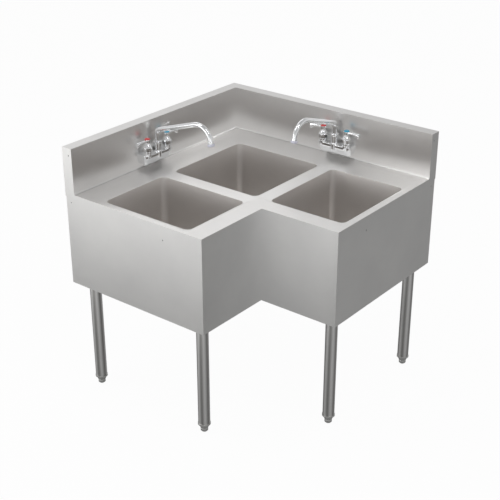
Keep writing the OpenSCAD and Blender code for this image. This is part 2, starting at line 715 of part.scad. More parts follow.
module left_tap_body() left_tap() tap_body();
module left_hot_bonnet() left_tap() at_valve(hot) bonnet();
module left_cold_bonnet() left_tap() at_valve(cold) bonnet();
module left_hot_stem() left_tap() at_valve(hot) stem();
module left_cold_stem() left_tap() at_valve(cold) stem();
module left_hot_lever() left_tap() at_valve(hot) lever(hot);
module left_cold_lever() left_tap() at_valve(cold) lever(cold);
module left_hot_button() left_tap() at_valve(hot) button(hot_red);
module left_cold_button() left_tap() at_valve(cold) button(cold_blue);
module left_spout() left_tap() spout();
module left_spout_nut() left_tap() spout_nut();
module left_aerator() left_tap() aerator();
module left_aerator_collar() left_tap() aerator_collar();
module left_mounting_nuts() left_tap() mounting_nuts();

module right_tap_body() right_tap() tap_body();
module right_hot_bonnet() right_tap() at_valve(hot) bonnet();
module right_cold_bonnet() right_tap() at_valve(cold) bonnet();
module right_hot_stem() right_tap() at_valve(hot) stem();
module right_cold_stem() right_tap() at_valve(cold) stem();
module right_hot_lever() right_tap() at_valve(hot) lever(hot);
module right_cold_lever() right_tap() at_valve(cold) lever(cold);
module right_hot_button() right_tap() at_valve(hot) button(hot_red);
module right_cold_button() right_tap() at_valve(cold) button(cold_blue);
module right_spout() right_tap() spout();
module right_spout_nut() right_tap() spout_nut();
module right_aerator() right_tap() aerator();
module right_aerator_collar() right_tap() aerator_collar();
module right_mounting_nuts() right_tap() mounting_nuts();

deck();
left_splash();
right_splash();
left_end_panel();
right_end_panel();
left_apron();
right_apron();
left_bowl();
corner_bowl();
right_bowl();
left_rear_rail();
right_rear_rail();
leg_sockets();
socket_screws();
left_front_leg();
left_wall_leg();
corner_leg();
right_wall_leg();
right_front_leg();
foot_inserts();
left_front_foot();
left_wall_foot();
corner_foot();
right_wall_foot();
right_front_foot();
left_drain();
corner_drain();
right_drain();
drain_strainers();
strainer_screws();
drain_gaskets();
drain_locknuts();
left_tap_body();
left_hot_bonnet();
left_cold_bonnet();
left_hot_stem();
left_cold_stem();
left_hot_lever();
left_cold_lever();
left_hot_button();
left_cold_button();
left_spout();
left_spout_nut();
left_aerator();
left_aerator_collar();
left_mounting_nuts();
right_tap_body();
right_hot_bonnet();
right_cold_bonnet();
right_hot_stem();
right_cold_stem();
right_hot_lever();
right_cold_lever();
right_hot_button();
right_cold_button();
right_spout();
right_spout_nut();
right_aerator();
right_aerator_collar();
right_mounting_nuts();
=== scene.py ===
# %% [markdown]
# # A corner sink in brushed steel, with two polished taps
# The construction model gives every size, and this script gives the looks. It loads the packed
# model first, because each piece below is built in the same frame, in metres, and so goes where
# the model says without any fitting.

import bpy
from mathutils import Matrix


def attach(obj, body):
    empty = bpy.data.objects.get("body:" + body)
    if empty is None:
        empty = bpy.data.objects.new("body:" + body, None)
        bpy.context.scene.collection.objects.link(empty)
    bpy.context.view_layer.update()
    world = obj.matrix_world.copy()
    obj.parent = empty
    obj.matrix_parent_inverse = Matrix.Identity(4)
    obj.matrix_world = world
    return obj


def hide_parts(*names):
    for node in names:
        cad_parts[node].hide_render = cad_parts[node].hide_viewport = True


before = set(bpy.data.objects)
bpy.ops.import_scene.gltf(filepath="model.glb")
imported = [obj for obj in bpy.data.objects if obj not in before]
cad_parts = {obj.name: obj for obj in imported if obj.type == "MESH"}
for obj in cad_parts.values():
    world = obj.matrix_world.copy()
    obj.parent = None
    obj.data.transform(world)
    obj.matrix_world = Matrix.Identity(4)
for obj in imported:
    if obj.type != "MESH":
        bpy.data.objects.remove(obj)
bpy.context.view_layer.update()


# %% [markdown]
# Measures are written in millimetres, as on a drawing, and turned into metres in one place.
# A place on the sink is named by its distance from the left wall, its distance from the right
# wall and its height, because that is how the sink is dimensioned. Taps and drains are drawn
# round their own middle and then shifted to where they stand.

# %% Places on the sink
from math import atan2, cos, pi, radians, sin, tan

import bmesh
import bpy
from mathutils import Matrix, Vector

MM = 0.001
HALF_RUN = 457.2


def place(from_left_wall, from_right_wall, height):
    return Vector((from_left_wall - HALF_RUN, HALF_RUN - from_right_wall, height)) * MM


def shift(x, y, z):
    return Matrix.Translation(Vector((x, y, z)) * MM)


print("back corner of the room:", place(0, 0, 0))


# %% [markdown]
# ## The camera
# The photograph looks down at the sink from its open side. A long lens from about four metres
# keeps the uprights nearly parallel, so the camera stands far off with a 78 mm lens.

# %% Set up the camera
lens = bpy.data.cameras.new("camera")
lens.sensor_width = 36
lens.lens = 77.77
camera = bpy.data.objects.new("camera", lens)
bpy.context.scene.collection.objects.link(camera)
camera.location = (2.1391, -2.7343, 2.1778)
camera.rotation_euler = (radians(90 - 25.878), 0, radians(38.254))
bpy.context.scene.camera = camera
bpy.context.scene.view_settings.view_transform = "Standard"
print("camera distance from the middle:", round(camera.location.length, 2), "m")


# %% [markdown]
# ## Light
# Steel shows its surroundings more than its own colour, so the light is built as a room. The sky
# is white at the horizon, where the camera may see it, and dims overhead and a little to the
# right, as in a studio with pale walls and a darker ceiling. A gradient over the direction does
# that with one ramp.

# %% Make the pale sky
SKY_STOPS = [(0.0, 1.0), (0.08, 0.82), (0.25, 0.66), (0.55, 0.56), (0.80, 0.46), (1.0, 0.42)]
DIMS_TOWARDS = (0.15, 0, 1)


def fill_ramp(ramp, stops):
    """Gives a colour ramp its grey stops, each a position and a level."""
    for k, (at, level) in enumerate(stops):
        stop = ramp.color_ramp.elements[k] if k < 2 else ramp.color_ramp.elements.new(at)
        stop.position = at
        stop.color = (level, level, level, 1)


sky = bpy.data.worlds.new("pale_sky")
bpy.context.scene.world = sky
sky.use_nodes = True
nodes, links = sky.node_tree.nodes, sky.node_tree.links
direction = nodes.new("ShaderNodeTexCoord")
leaning = nodes.new("ShaderNodeVectorMath")
leaning.operation = "DOT_PRODUCT"
leaning.inputs[1].default_value = DIMS_TOWARDS
ramp = nodes.new("ShaderNodeValToRGB")
fill_ramp(ramp, SKY_STOPS)
links.new(direction.outputs["Generated"], leaning.inputs[0])
links.new(leaning.outputs["Value"], ramp.inputs["Fac"])
links.new(ramp.outputs["Color"], nodes["Background"].inputs["Color"])
print("sky from the horizon up:", [level for at, level in SKY_STOPS])


# %% [markdown]
# Three large soft boxes light the sink: one well to the camera's left, one just below the camera
# and one high up behind the sink's corner. They give the brighter parts of the deck and the
# panels. Two narrow strips overhead put thin highlights on the taps and the folds. A lamp's power
# spreads over its area, so the helper takes the brightness of its face and works the power out.

# %% Hang the soft boxes and the strips
DECK_MIDDLE, TAP_MIDDLE = (0, 0, 0.75), (0, 0, 0.8)
WATTS_FOR_WHITE = 4  # for each square metre of a lamp's face


def soft_lamp(name, position, target, width, height, brightness):
    data = bpy.data.lights.new(name, "AREA")
    data.shape = "RECTANGLE"
    data.size = width
    data.size_y = height
    data.energy = brightness * WATTS_FOR_WHITE * width * height
    lamp = bpy.data.objects.new(name, data)
    bpy.context.scene.collection.objects.link(lamp)
    lamp.location = position
    lamp.rotation_euler = (Vector(position) - Vector(target)).to_track_quat("Z", "Y").to_euler()
    return lamp


lamps = [soft_lamp("left_soft_box", (-1.5, -2.7, 1.0), DECK_MIDDLE, 2.4, 1.9, 0.9),
         soft_lamp("right_soft_box", (2.5, -2.9, 0.9), DECK_MIDDLE, 2.0, 1.5, 0.4),
         soft_lamp("back_soft_box", (-1.9, 1.35, 2.9), DECK_MIDDLE, 2.2, 1.6, 0.5),
         soft_lamp("strip_0", (-1.0, -1.0, 3.0), TAP_MIDDLE, 0.25, 1.5, 5.0),
         soft_lamp("strip_1", (1.3, -0.3, 3.0), TAP_MIDDLE, 0.25, 1.5, 5.0)]
print("lamp power:", [round(lamp.data.energy, 1) for lamp in lamps], "W")


# %% [markdown]
# ## Helpers for the materials
# Each finish is a small net of nodes. These helpers only save typing: they add a node and fill
# it in, start a material, do a sum, and join colour, roughness and bump to the shader.

# %% Node helpers
def add_node(tree, kind, **values):
    """Adds a node and fills in its settings, or else its sockets of that name."""
    node = tree.nodes.new(kind)
    for key, value in values.items():
        if hasattr(node, key):
            setattr(node, key, value)
        else:
            node.inputs[key.replace("_", " ")].default_value = value
    return node


def maths(tree, operation, *values):
    """A sum of other nodes' sockets or plain numbers."""
    node = add_node(tree, "ShaderNodeMath", operation=operation)
    for socket, value in zip(node.inputs, values):
        if isinstance(value, bpy.types.NodeSocket):
            tree.links.new(value, socket)
        else:
            socket.default_value = value
    return node.outputs[0]


def new_material(name, metallic=0.0):
    material = bpy.data.materials.new(name)
    material.use_nodes = True
    shader = material.node_tree.nodes["Principled BSDF"]
    shader.inputs["Metallic"].default_value = metallic
    return material, material.node_tree, shader


def dress(tree, shader, colour, roughness, height, strength, distance=0.0001):
    """Feeds a shader its colour, its roughness and a bump that follows the height."""
    bump = add_node(tree, "ShaderNodeBump", Strength=strength, Distance=distance)
    tree.links.new(height, bump.inputs["Height"])
    tree.links.new(colour, shader.inputs["Base Color"])
    tree.links.new(roughness, shader.inputs["Roughness"])
    tree.links.new(bump.outputs["Normal"], shader.inputs["Normal"])


print("node helpers ready: add_node, maths, new_material, dress")


# %% [markdown]
# All unevenness comes from noise. It hangs on the object's own coordinates, so it moves with the
# piece. Two more helpers turn it into a range of numbers or a blend of two tones. Noise seldom
# leaves its middle, so both take the ends of the range from there.

# %% Noise helpers
def stretched_noise(tree, stretch, detail=3.0):
    """Noise drawn out along an axis: stretch is cycles per metre along X, Y and Z."""
    where = add_node(tree, "ShaderNodeTexCoord")
    mapping = add_node(tree, "ShaderNodeMapping")
    mapping.inputs["Scale"].default_value = stretch
    noise = add_node(tree, "ShaderNodeTexNoise", Scale=1.0, Detail=detail, Roughness=0.6)
    tree.links.new(where.outputs["Object"], mapping.inputs["Vector"])
    tree.links.new(mapping.outputs["Vector"], noise.inputs["Vector"])
    return noise.outputs["Fac"]


def ranged(tree, value, low, high, low_from=0.25, high_from=0.75):
    spread = add_node(tree, "ShaderNodeMapRange")
    spread.inputs["From Min"].default_value = low_from
    spread.inputs["From Max"].default_value = high_from
    spread.inputs["To Min"].default_value = low
    spread.inputs["To Max"].default_value = high
    tree.links.new(value, spread.inputs["Value"])
    return spread.outputs["Result"]


DARK_AT, LIGHT_AT = 0.3, 0.7


def toned(tree, value, dark, light):
    ramp = add_node(tree, "ShaderNodeValToRGB")
    for stop, at, tone in zip(ramp.color_ramp.elements, (DARK_AT, LIGHT_AT), (dark, light)):
        stop.position = at
        stop.color = (*tone, 1)
    tree.links.new(value, ramp.inputs["Fac"])
    return ramp.outputs["Color"]


print("noise helpers ready: stretched_noise, ranged, toned")


# %% [markdown]
# ## Brushed steel
# The sheet is stainless steel rubbed with a belt, which leaves fine scratches along one
# direction. Noise stretched far along that direction makes the scratches, and it feeds both
# roughness and bump. A second, cloudy noise varies the tone a little, as handling and polishing
# do on a real sheet. Deck, splashes, panels and bowls were rubbed in different ways, so each has
# its own roughness. Each also has its own tone, and the deck's much paler tone is painted light,
# standing in for the light the deck catches from above.

# %% Make the brushed steels
LONG, FINE = 9, 620
CLOUDS = (4, 4, 4)
SCRATCH_STRENGTH = 0.18
ALONG_X, ALONG_Y, ALONG_Z = (LONG, FINE, FINE), (FINE, LONG, FINE), (FINE, FINE, LONG)


def brushed_steel(name, grain, dark, light, smooth, rough):
    material, tree, shader = new_material(name, metallic=1.0)
    scratches = stretched_noise(tree, grain)
    clouds = stretched_noise(tree, CLOUDS, 4.0)
    dress(tree, shader, toned(tree, clouds, dark, light), ranged(tree, scratches, smooth, rough),
          scratches, SCRATCH_STRENGTH)
    return material


sheet_tones = (0.75, 0.745, 0.735), (0.81, 0.805, 0.79)
splash_tones = (0.72, 0.71, 0.70), (0.78, 0.77, 0.76)
steel_x = brushed_steel("sheet_steel_grain_x", ALONG_X, *sheet_tones, 0.32, 0.40)
steel_y = brushed_steel("sheet_steel_grain_y", ALONG_Y, *sheet_tones, 0.32, 0.40)
splash_x = brushed_steel("splash_steel_grain_x", ALONG_X, *splash_tones, 0.28, 0.33)
splash_y = brushed_steel("splash_steel_grain_y", ALONG_Y, *splash_tones, 0.28, 0.33)
# Painted light: the deck's tones are far paler than the rest of the same folded sheet.
deck_steel_painted_light = brushed_steel("deck_steel_painted_light", ALONG_X, (0.90, 0.89, 0.875), (0.94, 0.93, 0.92), 0.36, 0.44)
bowl_steel = brushed_steel("bowl_steel", ALONG_Z, (0.79, 0.765, 0.745), (0.83, 0.805, 0.785),
                           0.38, 0.46)
drain_steel = brushed_steel("drain_steel", ALONG_X, (0.74, 0.73, 0.72), (0.82, 0.81, 0.80), 0.12, 0.2)
plain_steel = brushed_steel("plain_steel", ALONG_X, (0.44, 0.44, 0.43), (0.54, 0.54, 0.53), 0.35, 0.5)
print("brushed steels:", [steel.name for steel in (steel_x, steel_y, splash_x, splash_y, deck_steel_painted_light,
                                                   bowl_steel, drain_steel, plain_steel)])


# %% [markdown]
# ## The drawn tubes
# The legs are drawn tubes. Their colour holds painted reflections: six long light and dark bands
# round a tube, which run straight down it and wander a little, stand in for the surroundings
# mirrored in it. The angle round the tube's own axis places them, so they stay on the tube from
# every side.

# %% Make the tube steel with painted reflection bands
PAINTED_REFLECTION_BANDS = 6
PAINTED_HIGHLIGHT_AT = radians(323)
WANDER, WANDER_NOISE = 0.4, (30, 30, 2)
TUBE_SCRATCH_STRENGTH = 0.15


def tube_steel_painted_bands(name, dark, light, smooth, rough):
    material, tree, shader = new_material(name, metallic=1.0)
    where = add_node(tree, "ShaderNodeTexCoord")
    turn = add_node(tree, "ShaderNodeTexGradient", gradient_type="RADIAL")
    tree.links.new(where.outputs["Object"], turn.inputs["Vector"])
    wander = ranged(tree, stretched_noise(tree, WANDER_NOISE, 2.0), -WANDER, WANDER)
    angle = maths(tree, "MULTIPLY_ADD", turn.outputs["Fac"], 2 * pi * PAINTED_REFLECTION_BANDS, wander)
    from_painted_highlight = maths(tree, "ADD", angle, -PAINTED_REFLECTION_BANDS * (pi + PAINTED_HIGHLIGHT_AT))
    wave = maths(tree, "COSINE", from_painted_highlight)
    # Painted reflection: the wave round the tube becomes light and dark bands in the colour.
    band = ranged(tree, wave, DARK_AT, LIGHT_AT, -1.0, 1.0)
    scratches = stretched_noise(tree, ALONG_Z)
    dress(tree, shader, toned(tree, band, dark, light), ranged(tree, scratches, smooth, rough),
          scratches, TUBE_SCRATCH_STRENGTH)
    return material


# Dark and light tones of the legs' painted reflection bands.
leg_steel_painted_reflections = tube_steel_painted_bands("leg_steel_painted_reflections", (0.40, 0.395, 0.385), (0.96, 0.955, 0.94), 0.28, 0.34)
print("tube steel:", leg_steel_painted_reflections.name, "with", PAINTED_REFLECTION_BANDS, "bands")


# %% [markdown]
# ## Turned steel and chrome
# The feet were turned on a lathe and are a little dull. The taps are chromed brass: almost a
# mirror, with the faint waviness that polishing leaves. Both get their unevenness from noise,
# because a perfect mirror looks like a drawing.

# %% Make the chrome and the foot steel
SPECKS = (900, 900, 900)
WAVE_HEIGHT = 0.0002


def polished(name, dark, light, smooth, rough, waves, wave_size):
    material, tree, shader = new_material(name, metallic=1.0)
    swirl = stretched_noise(tree, (wave_size, wave_size, wave_size), 2.0)
    specks = stretched_noise(tree, SPECKS, 2.0)
    dress(tree, shader, toned(tree, swirl, dark, light), ranged(tree, specks, smooth, rough),
          swirl, waves, WAVE_HEIGHT)
    return material


chrome = polished("chrome", (0.86, 0.87, 0.88), (0.92, 0.93, 0.94), 0.03, 0.06, 0.08, 60)
foot_steel = polished("foot_steel", (0.60, 0.60, 0.59), (0.70, 0.70, 0.68), 0.28, 0.38, 0.2, 300)
brass = polished("brass", (0.58, 0.45, 0.22), (0.68, 0.54, 0.29), 0.28, 0.4, 0.2, 200)
print("polished metals:", chrome.name, foot_steel.name, brass.name)


# %% [markdown]
# ## Plastic, rubber and painted shade
# The index buttons are glossy moulded plastic, red for hot and blue for cold. The collar at the
# spout's tip is a pale plastic, and the drain gaskets are black rubber. A near-black with a skin
# like theirs is painted shade for the plates behind the screw holes. Each has a little mottle in
# its colour, a fine surface grain and its own gloss.

# %% Make the plastics, the rubber and the painted shade black
MOTTLE = (150, 150, 150)


def moulded(name, dark, light, smooth, rough, grain_size, grain):
    material, tree, shader = new_material(name)
    mottle = stretched_noise(tree, MOTTLE)
    skin = stretched_noise(tree, (grain_size, grain_size, grain_size), 2.0)
    dress(tree, shader, toned(tree, mottle, dark, light), ranged(tree, skin, smooth, rough),
          skin, grain)
    return material


red_plastic = moulded("red_plastic", (0.66, 0.06, 0.07), (0.78, 0.10, 0.10), 0.1, 0.2, 900, 0.1)
blue_plastic = moulded("blue_plastic", (0.03, 0.36, 0.56), (0.06, 0.46, 0.66), 0.1, 0.2, 900, 0.1)
pale_plastic = moulded("pale_plastic", (0.66, 0.66, 0.76), (0.74, 0.74, 0.84), 0.25, 0.4, 900, 0.15)
# Near-black painted shade for the plates behind the screw holes.
hole_shade_black = moulded("hole_shade_black", (0.012, 0.012, 0.012), (0.03, 0.03, 0.03), 0.5, 0.7, 900, 0.3)
rubber = moulded("rubber", (0.01, 0.01, 0.01), (0.03, 0.03, 0.03), 0.6, 0.8, 1500, 0.3)
print("moulded and blackened:", [skin.name for skin in (red_plastic, blue_plastic, pale_plastic,
                                                        rubber, hole_shade_black)])


# %% [markdown]
# ## The floor
# The floor is a plain sheet, but the grey that the steel sees in it is painted light and shade:
# painted shade makes it dark round the sink, and painted light makes it grow pale from about a
# metre in front of it, towards the lamps.

# %% Work out the floor's painted light and shade
FLOOR_PAINTED_LIGHT_STOPS = [(0.0, 0.37), (0.45, 0.31), (0.60, 0.32), (0.68, 0.47), (0.77, 0.75), (0.86, 0.98)]
BEHIND_Y, FRONT_Y = 0.5, -2.0
UNEVEN = (3, 3, 3)


def floor_painted_shade_and_light(tree):
    where = add_node(tree, "ShaderNodeTexCoord")
    split = add_node(tree, "ShaderNodeSeparateXYZ")
    tree.links.new(where.outputs["Object"], split.inputs["Vector"])
    tone = add_node(tree, "ShaderNodeValToRGB")
    fill_ramp(tone, FLOOR_PAINTED_LIGHT_STOPS)
    # Painted shade round the sink and painted light in front, laid out along Y.
    tree.links.new(ranged(tree, split.outputs["Y"], 0, 1, BEHIND_Y, FRONT_Y), tone.inputs["Fac"])
    uneven = ranged(tree, stretched_noise(tree, UNEVEN), 0.97, 1.03)
    return maths(tree, "MULTIPLY", tone.outputs["Color"], uneven)


print("floor greys from behind to the front:", [level for at, level in FLOOR_PAINTED_LIGHT_STOPS])


# %% [markdown]
# The camera sees the floor nearly white, so that the object stands on a white ground with a faint
# shadow. A little of that white also shows in reflections. Matt light gets none of it.

# %% Lay the floor
FLOOR_HALF = 14
SEEN_GREY, SEEN_WHITE, MIRRORED_WHITE = 0.9, 0.96, 0.1


def floor_material():
    material, tree, shader = new_material("pale_floor")
    tree.nodes.remove(shader)
    rays = add_node(tree, "ShaderNodeLightPath")
    seen = add_node(tree, "ShaderNodeMix", data_type="FLOAT")
    tree.links.new(rays.outputs["Is Camera Ray"], seen.inputs["Factor"])
    tree.links.new(floor_painted_shade_and_light(tree), seen.inputs["A"])
    seen.inputs["B"].default_value = SEEN_GREY
    diffuse = add_node(tree, "ShaderNodeBsdfDiffuse")
    tree.links.new(seen.outputs["Result"], diffuse.inputs["Color"])
    white = add_node(tree, "ShaderNodeEmission", Strength=1.0)
    mirrored = maths(tree, "ADD", rays.outputs["Is Glossy Ray"], rays.outputs["Is Transmission Ray"])
    some = maths(tree, "MULTIPLY", mirrored, MIRRORED_WHITE)
    share = maths(tree, "MULTIPLY_ADD", rays.outputs["Is Camera Ray"], SEEN_WHITE, some)
    blend = add_node(tree, "ShaderNodeMixShader")
    tree.links.new(share, blend.inputs["Fac"])
    tree.links.new(diffuse.outputs["BSDF"], blend.inputs[1])
    tree.links.new(white.outputs["Emission"], blend.inputs[2])
    tree.links.new(blend.outputs["Shader"], tree.nodes["Material Output"].inputs["Surface"])
    return material


floor_mesh = bpy.data.meshes.new("floor")
floor_corners = [(x * FLOOR_HALF, y * FLOOR_HALF, 0) for x, y in ((-1, -1), (1, -1), (1, 1), (-1, 1))]
floor_mesh.from_pydata(floor_corners, [], [(0, 1, 2, 3)])
floor = bpy.data.objects.new("floor", floor_mesh)
bpy.context.scene.collection.objects.link(floor)
floor_mesh.materials.append(floor_material())
print("floor:", 2 * FLOOR_HALF, "m across")


# %% [markdown]
# ## Turning meshes into pieces
# Every piece ends the same way: its mesh goes into an object with a material, smooth shading
# breaks only at real corners, and the object rides on a body of the model. It also hides the
# parts of the model that it takes the place of.

# %% Piece helper
def piece(name, mesh, material, body, nodes=(), matrix=None, sharp=35):
    """Makes a piece of a mesh. Edges that bend more than sharp, in degrees, stay sharp."""
    made = bpy.data.objects.new(name, mesh)
    bpy.context.scene.collection.objects.link(made)
    mesh.materials.clear()
    mesh.materials.append(material)
    if sharp:
        mesh.shade_smooth()
        mesh.set_sharp_from_angle(angle=radians(sharp))
    if matrix is not None:
        made.matrix_world = matrix
    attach(made, body)
    if nodes:
        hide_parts(*nodes)
    return made


def plain_mesh(bm, name):
    mesh = bpy.data.meshes.new(name)
    bm.to_mesh(mesh)
    bm.free()
    return mesh


def mesh_from(bm, name):
    """A mesh with its double points joined and its faces turned outward."""
    bmesh.ops.remove_doubles(bm, verts=bm.verts, dist=1e-7)
    bmesh.ops.recalc_face_normals(bm, faces=bm.faces)
    return plain_mesh(bm, name)


print("piece helpers ready: piece, plain_mesh, mesh_from")


# %% [markdown]
# ## The folded sheet
# Deck, splashes, end panels and aprons are one folded and welded skin. It is drawn here as a
# surface without thickness. Corners that fall on the same place share one vertex, so the folds
# are real shared edges that a bevel can round. The left and right sides mirror each other, so
# what stands on both is written once, by distance from its own wall and distance along it.

# %% Start the skin
PARTS = ["deck", "left_splash", "right_splash", "left_end_panel", "right_end_panel",
         "left_apron", "right_apron"]
skin = bmesh.new()
shared = {}


def corner(u, v, z):
    key = (round(u, 3), round(v, 3), round(z, 3))
    if key not in shared:
        shared[key] = skin.verts.new(place(u, v, z))
    return shared[key]


def facet(part, points):
    made = skin.faces.new([corner(*p) for p in points])
    made.material_index = PARTS.index(part)


def both_sides(part, points):
    facet("left_" + part, points)
    facet("right_" + part, [(b, a, z) for a, b, z in points])


def l_outline(back, notch, front):
    return [(back, back), (back, front), (notch, front), (notch, notch), (front, notch), (front, back)]


RIM, DECK, APRON_FOOT, TOP = 749.3, 746.3, 406.4, 914.4
RUN, WING, SPLASH, COVE = 914.4, 609.6, 43.5, 6.0
outer, inner = l_outline(SPLASH + COVE, WING, RUN), l_outline(83.5, 541.6, 899.9)
for i in range(6):
    j = (i + 1) % 6
    facet("deck", [(*outer[i], RIM), (*outer[j], RIM), (*inner[j], DECK), (*inner[i], DECK)])
print("sloped edges of the deck:", len(skin.faces))


# %% [markdown]
# ## The flat of the deck
# The flat between the sloped edges has three openings for the bowls, with rounded corners. The
# openings are drawn as loops of points and the flat is filled between them with triangles, which
# is safe because it is dead flat. A bowl's box gives how far it is from each wall, then its size
# away from each.

# %% Fill the deck round its openings
from mathutils.geometry import tessellate_polygon

BOWL_R = 22.0
LIP = 0.6
BOWLS = {"left": (158, 595.9, 372, 289), "corner": (158, 166.5, 372, 372),
         "right": (587.4, 166.5, 297.5, 372)}


def rounded_loop(box, grow, radius, steps=8):
    """Points of a rectangle with round corners, (from left wall, from right wall)."""
    u, v, w, l = box
    radius = max(radius, 0.05)
    low_u, high_u = u - grow + radius, u + w + grow - radius
    low_v, high_v = v - grow + radius, v + l + grow - radius
    centres = [(high_u, high_v, 0), (low_u, high_v, 90), (low_u, low_v, 180), (high_u, low_v, 270)]
    turns = [radians(90 * k / steps) for k in range(steps + 1)]
    return [(cu + radius * cos(radians(start) + turn), cv + radius * sin(radians(start) + turn))
            for cu, cv, start in centres for turn in turns]


loops = [inner] + [rounded_loop(box, LIP, BOWL_R + LIP) for box in BOWLS.values()]
flat = [(u, v, DECK) for loop in loops for u, v in loop]
for triangle in tessellate_polygon([[Vector((u, v, 0)) for u, v in loop] for loop in loops]):
    facet("deck", [flat[k] for k in triangle])
print("faces of the deck:", len(skin.faces))


# %% [markdown]
# ## The splashes
# Each splash is one section swept along its wall: a short return against the wall, the flat
# top, the face, and a quarter-round cove down to the deck. At the room's corner the two meet on
# a mitre, which needs nothing more than giving a point the same distance from both walls. The
# screw holes are listed here, by distance from the wall and height, because the end of the
# splash's face needs a point beside the first.

# %% Sweep the splashes
HOLES = [(29.0, 888.0), (25.6, 717.2), (444.6, 697.9)]
RETURN_FOOT = 889.4
COVE_STEPS = 8
cove_turns = [pi / 2 * k / COVE_STEPS for k in range(COVE_STEPS + 1)]
cove_points = [(SPLASH + COVE - COVE * cos(turn), RIM + COVE - COVE * sin(turn)) for turn in cove_turns]
section = [(0, RETURN_FOOT), (0, TOP), (SPLASH, TOP)] + cove_points
for (t0, z0), (t1, z1) in zip(section, section[1:]):
    end = [(t1, z1), (t0, z0)]
    if t0 == t1 == SPLASH:
        end.insert(1, (SPLASH, HOLES[0][1]))
    both_sides("splash", [(t0, t0, z0), (t1, t1, z1)] + [(t, RUN, z) for t, z in end])
print("faces with the splashes:", len(skin.faces))


# %% [markdown]
# ## The end panels
# Each wing ends in a panel with three small screw holes. A face can't have a hole in Blender, so
# the panel is cut into strips at the height of each hole, and each strip takes half of the hole
# into its outline.

# %% Cut the end panels with their holes
HOLE_R = 2.5
PANEL_BACK, PANEL_STEP = 4, 737.3


def half_hole(hole, upper):
    t, z = hole
    turn = 1 if upper else -1
    angles = [radians(a) for a in range(0, 181, 15)]
    half = [(t - HOLE_R * cos(a), z + turn * HOLE_R * sin(a)) for a in angles]
    return half if upper else half[::-1]


splash_hole, rear_hole, front_hole = HOLES
splash_z, rear_z, front_z = [z for t, z in HOLES]
low = [(PANEL_BACK, APRON_FOOT), (WING, APRON_FOOT), (WING, front_z)]
low += half_hole(front_hole, False) + [(PANEL_BACK, front_z)]
middle = [(PANEL_BACK, front_z)] + half_hole(front_hole, True) + [(WING, front_z), (WING, rear_z)]
middle += half_hole(rear_hole, False) + [(PANEL_BACK, rear_z)]
high = [(PANEL_BACK, rear_z)] + half_hole(rear_hole, True) + [(WING, rear_z), (WING, RIM)]
high += cove_points[::-1] + [(SPLASH, splash_z)] + half_hole(splash_hole, False)
high += [(0, splash_z), (0, PANEL_STEP), (PANEL_BACK, PANEL_STEP)]
head = [(0, splash_z)] + half_hole(splash_hole, True)
head += [(SPLASH, splash_z), (SPLASH, TOP), (0, TOP), (0, RETURN_FOOT)]
for strip in (low, middle, high, head):
    both_sides("end_panel", [(t, RUN, z) for t, z in strip])
print("faces with the end panels:", len(skin.faces))


# %% [markdown]
# ## Aprons and bottom flanges
# The aprons close the inner sides of the L. Every panel turns in at its bottom edge with a
# 12 mm flange, so that nobody touches a raw edge. Neighbouring flanges meet on a mitre.

# %% Add the aprons and the flanges
FLANGE = 12.0
apron_end = [(WING, RUN, z) for z in (APRON_FOOT, front_z, rear_z, RIM)]
both_sides("apron", [(WING, WING, RIM), (WING, WING, APRON_FOOT)] + apron_end)
wing_in, run_in = WING - FLANGE, RUN - FLANGE
flanges = {"end_panel": [(PANEL_BACK, RUN), (WING, RUN), (wing_in, run_in), (PANEL_BACK, run_in)],
           "apron": [(WING, RUN), (WING, WING), (wing_in, wing_in), (wing_in, run_in)]}
for part, outline in flanges.items():
    both_sides(part, [(a, b, APRON_FOOT) for a, b in outline])
bmesh.ops.recalc_face_normals(skin, faces=skin.faces)
deck_face = next(f for f in skin.faces if f.material_index == 0 and abs(f.normal.z) > 0.9999)
if deck_face.normal.z < 0:
    bmesh.ops.reverse_faces(skin, faces=skin.faces)
open_edges = sum(e.is_boundary for e in skin.edges)
print("faces of the whole skin:", len(skin.faces), "open edges:", open_edges)


# %% [markdown]
# ## Rounding the folds
# A press brake can't fold a sharp corner, and the thin bright line on each fold is what makes
# sheet metal look like sheet metal. Each edge gets a bevel weight: full for the folds, less for
# the welded corners that were ground round, none for inner corners. A test is written for one
# side and tried on both.

# %% Mark the folds
def near(a, b):
    return abs(a - b) < 0.01


def along(edge, test):
    """True where both ends of an edge pass a test on (from its own wall, along it, height)."""
    ends = [(v.co.x / MM + HALF_RUN, HALF_RUN - v.co.y / MM, v.co.z / MM) for v in edge.verts]
    return all(test(u, v, z) for u, v, z in ends) or all(test(v, u, z) for u, v, z in ends)


COVE_END = 56
FOLDS = [
    (1.0, lambda a, b, z: near(z, RIM) and near(b, RUN)),
    (1.0, lambda a, b, z: near(z, RIM) and near(a, WING) and b > WING - 1),
    (0.9, lambda a, b, z: near(a, WING) and near(b, RUN)),
    (0.8, lambda a, b, z: near(z, TOP) and near(a, SPLASH) and b > SPLASH - 1),
    (0.8, lambda a, b, z: near(z, TOP) and near(a, 0)),
    (0.5, lambda a, b, z: near(b, RUN) and a < COVE_END and z > RIM - 1),
    (0.7, lambda a, b, z: near(z, APRON_FOOT) and near(b, RUN)),
    (0.7, lambda a, b, z: near(z, APRON_FOOT) and near(a, WING) and b > WING - 1),
]
weights = skin.edges.layers.float.new("bevel_weight_edge")
folds = 0
for edge in skin.edges:
    if edge.is_boundary:
        continue
    bend = edge.calc_face_angle(0)
    if bend > radians(60):
        fitting = [weight for weight, test in FOLDS if along(edge, test)]
        if fitting:
            edge[weights] = fitting[0]
            folds += 1
    elif bend > radians(1) and along(edge, lambda a, b, z: near(z, DECK)):
        edge.smooth = False
skin_mesh = plain_mesh(skin, "skin")
print("rounded folds:", folds)


# %% [markdown]
# The rounding comes first and the thickness second, so the inside of each fold follows the
# outside. The last modifier points the shading of the rounded strips at the large flat faces,
# which keeps the flats flat.

